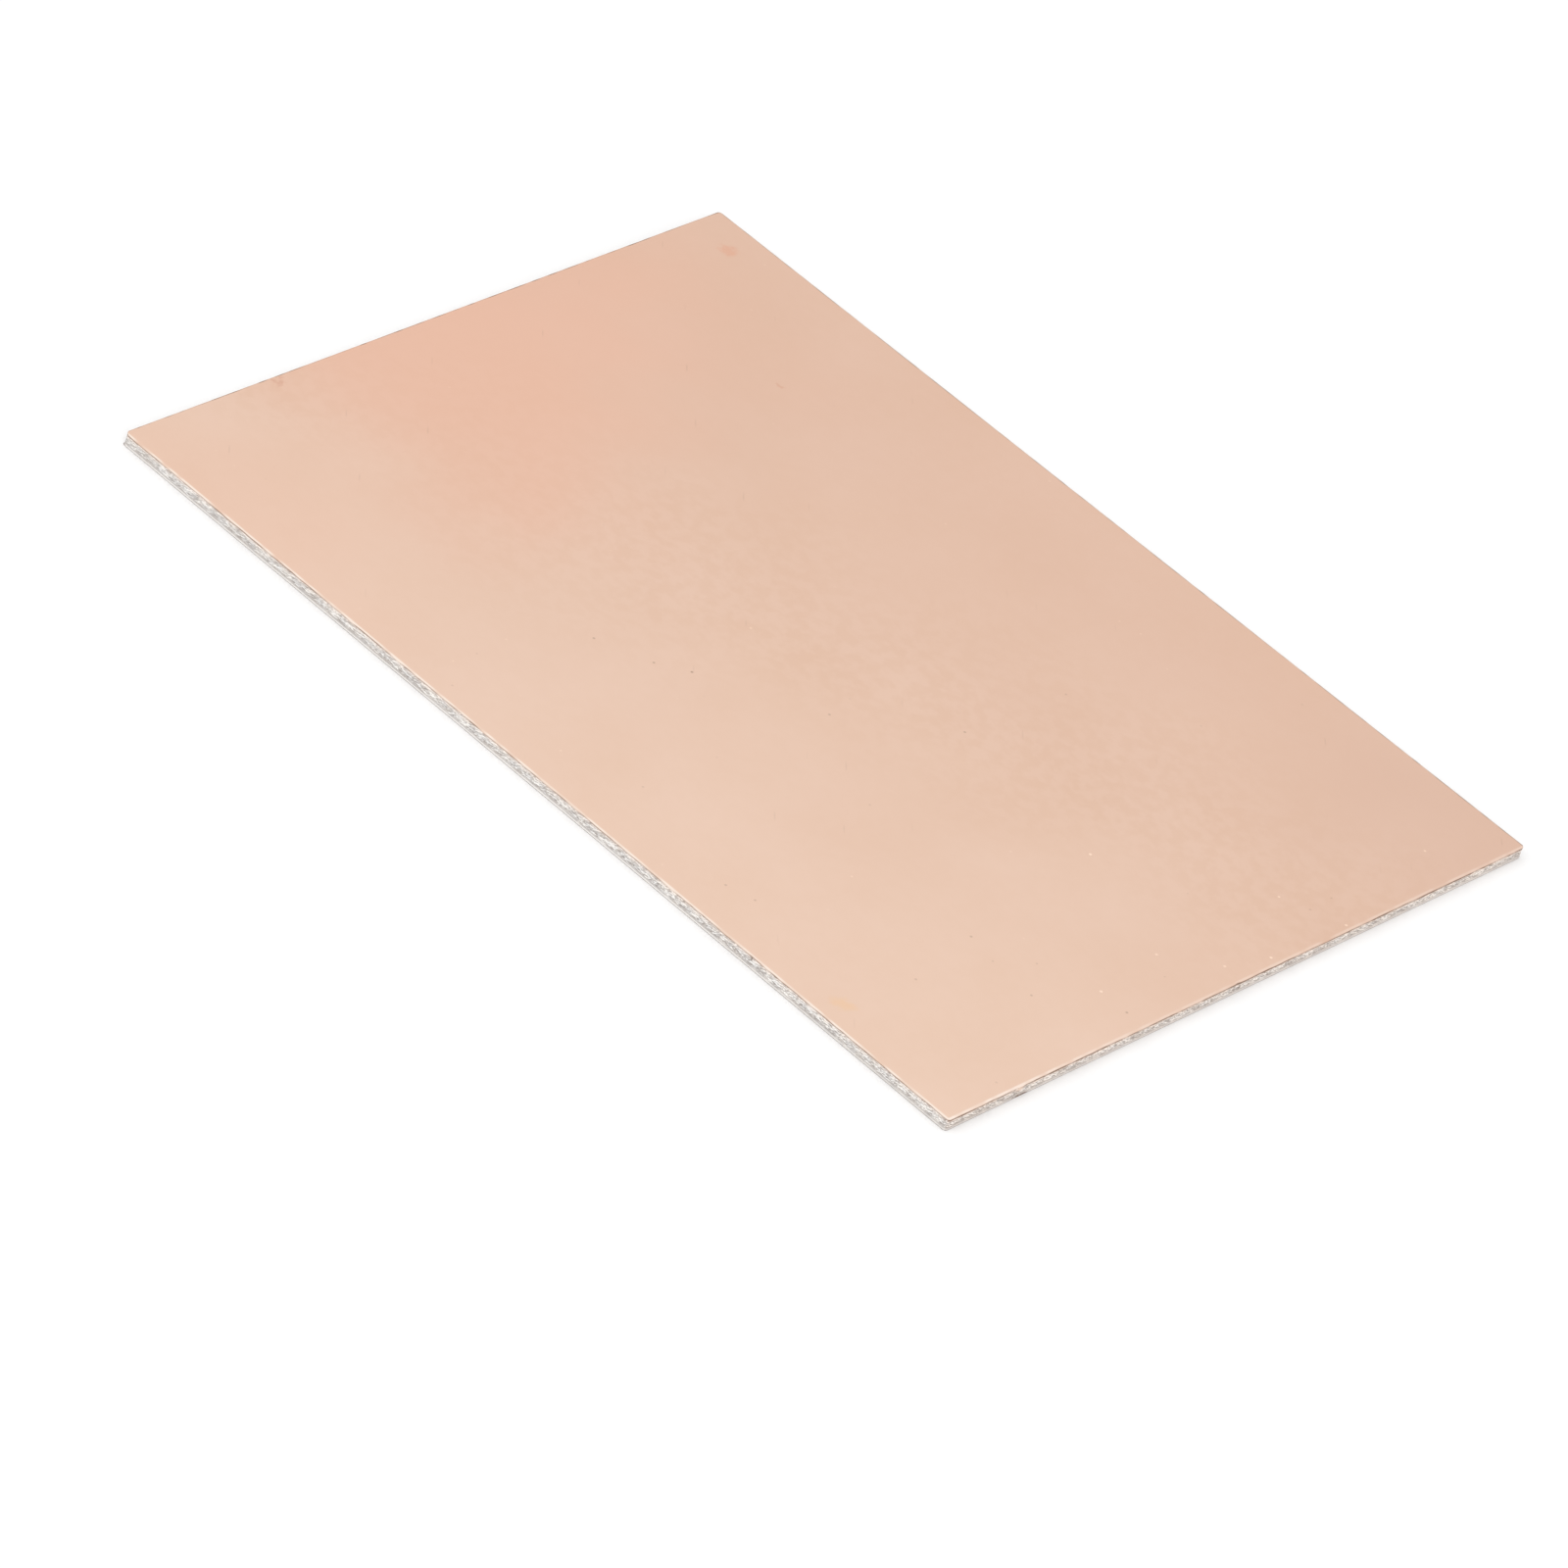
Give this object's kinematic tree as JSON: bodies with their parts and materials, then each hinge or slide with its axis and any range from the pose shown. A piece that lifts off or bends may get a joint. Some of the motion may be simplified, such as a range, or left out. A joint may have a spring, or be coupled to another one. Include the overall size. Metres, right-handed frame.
{
  "type": "copper clad board",
  "caption": "Flat rectangular blank of single-sided copper clad glass-epoxy laminate with sheared edges, raw stock for printed circuit boards.",
  "frame": {"origin": "middle of the bare underside, the face that the board rests on", "axes": "+X along the long side, +Y along the short side, +Z out of the copper face"},
  "size_m": [0.1, 0.075, 0.0012],
  "materials": {
    "laminate": "matt, fibrous cut edge",
    "copper": "satin"
  },
  "bodies": {
    "root": {"laminate_core": "laminate", "copper_foil": "copper"}
  },
  "joints": []
}
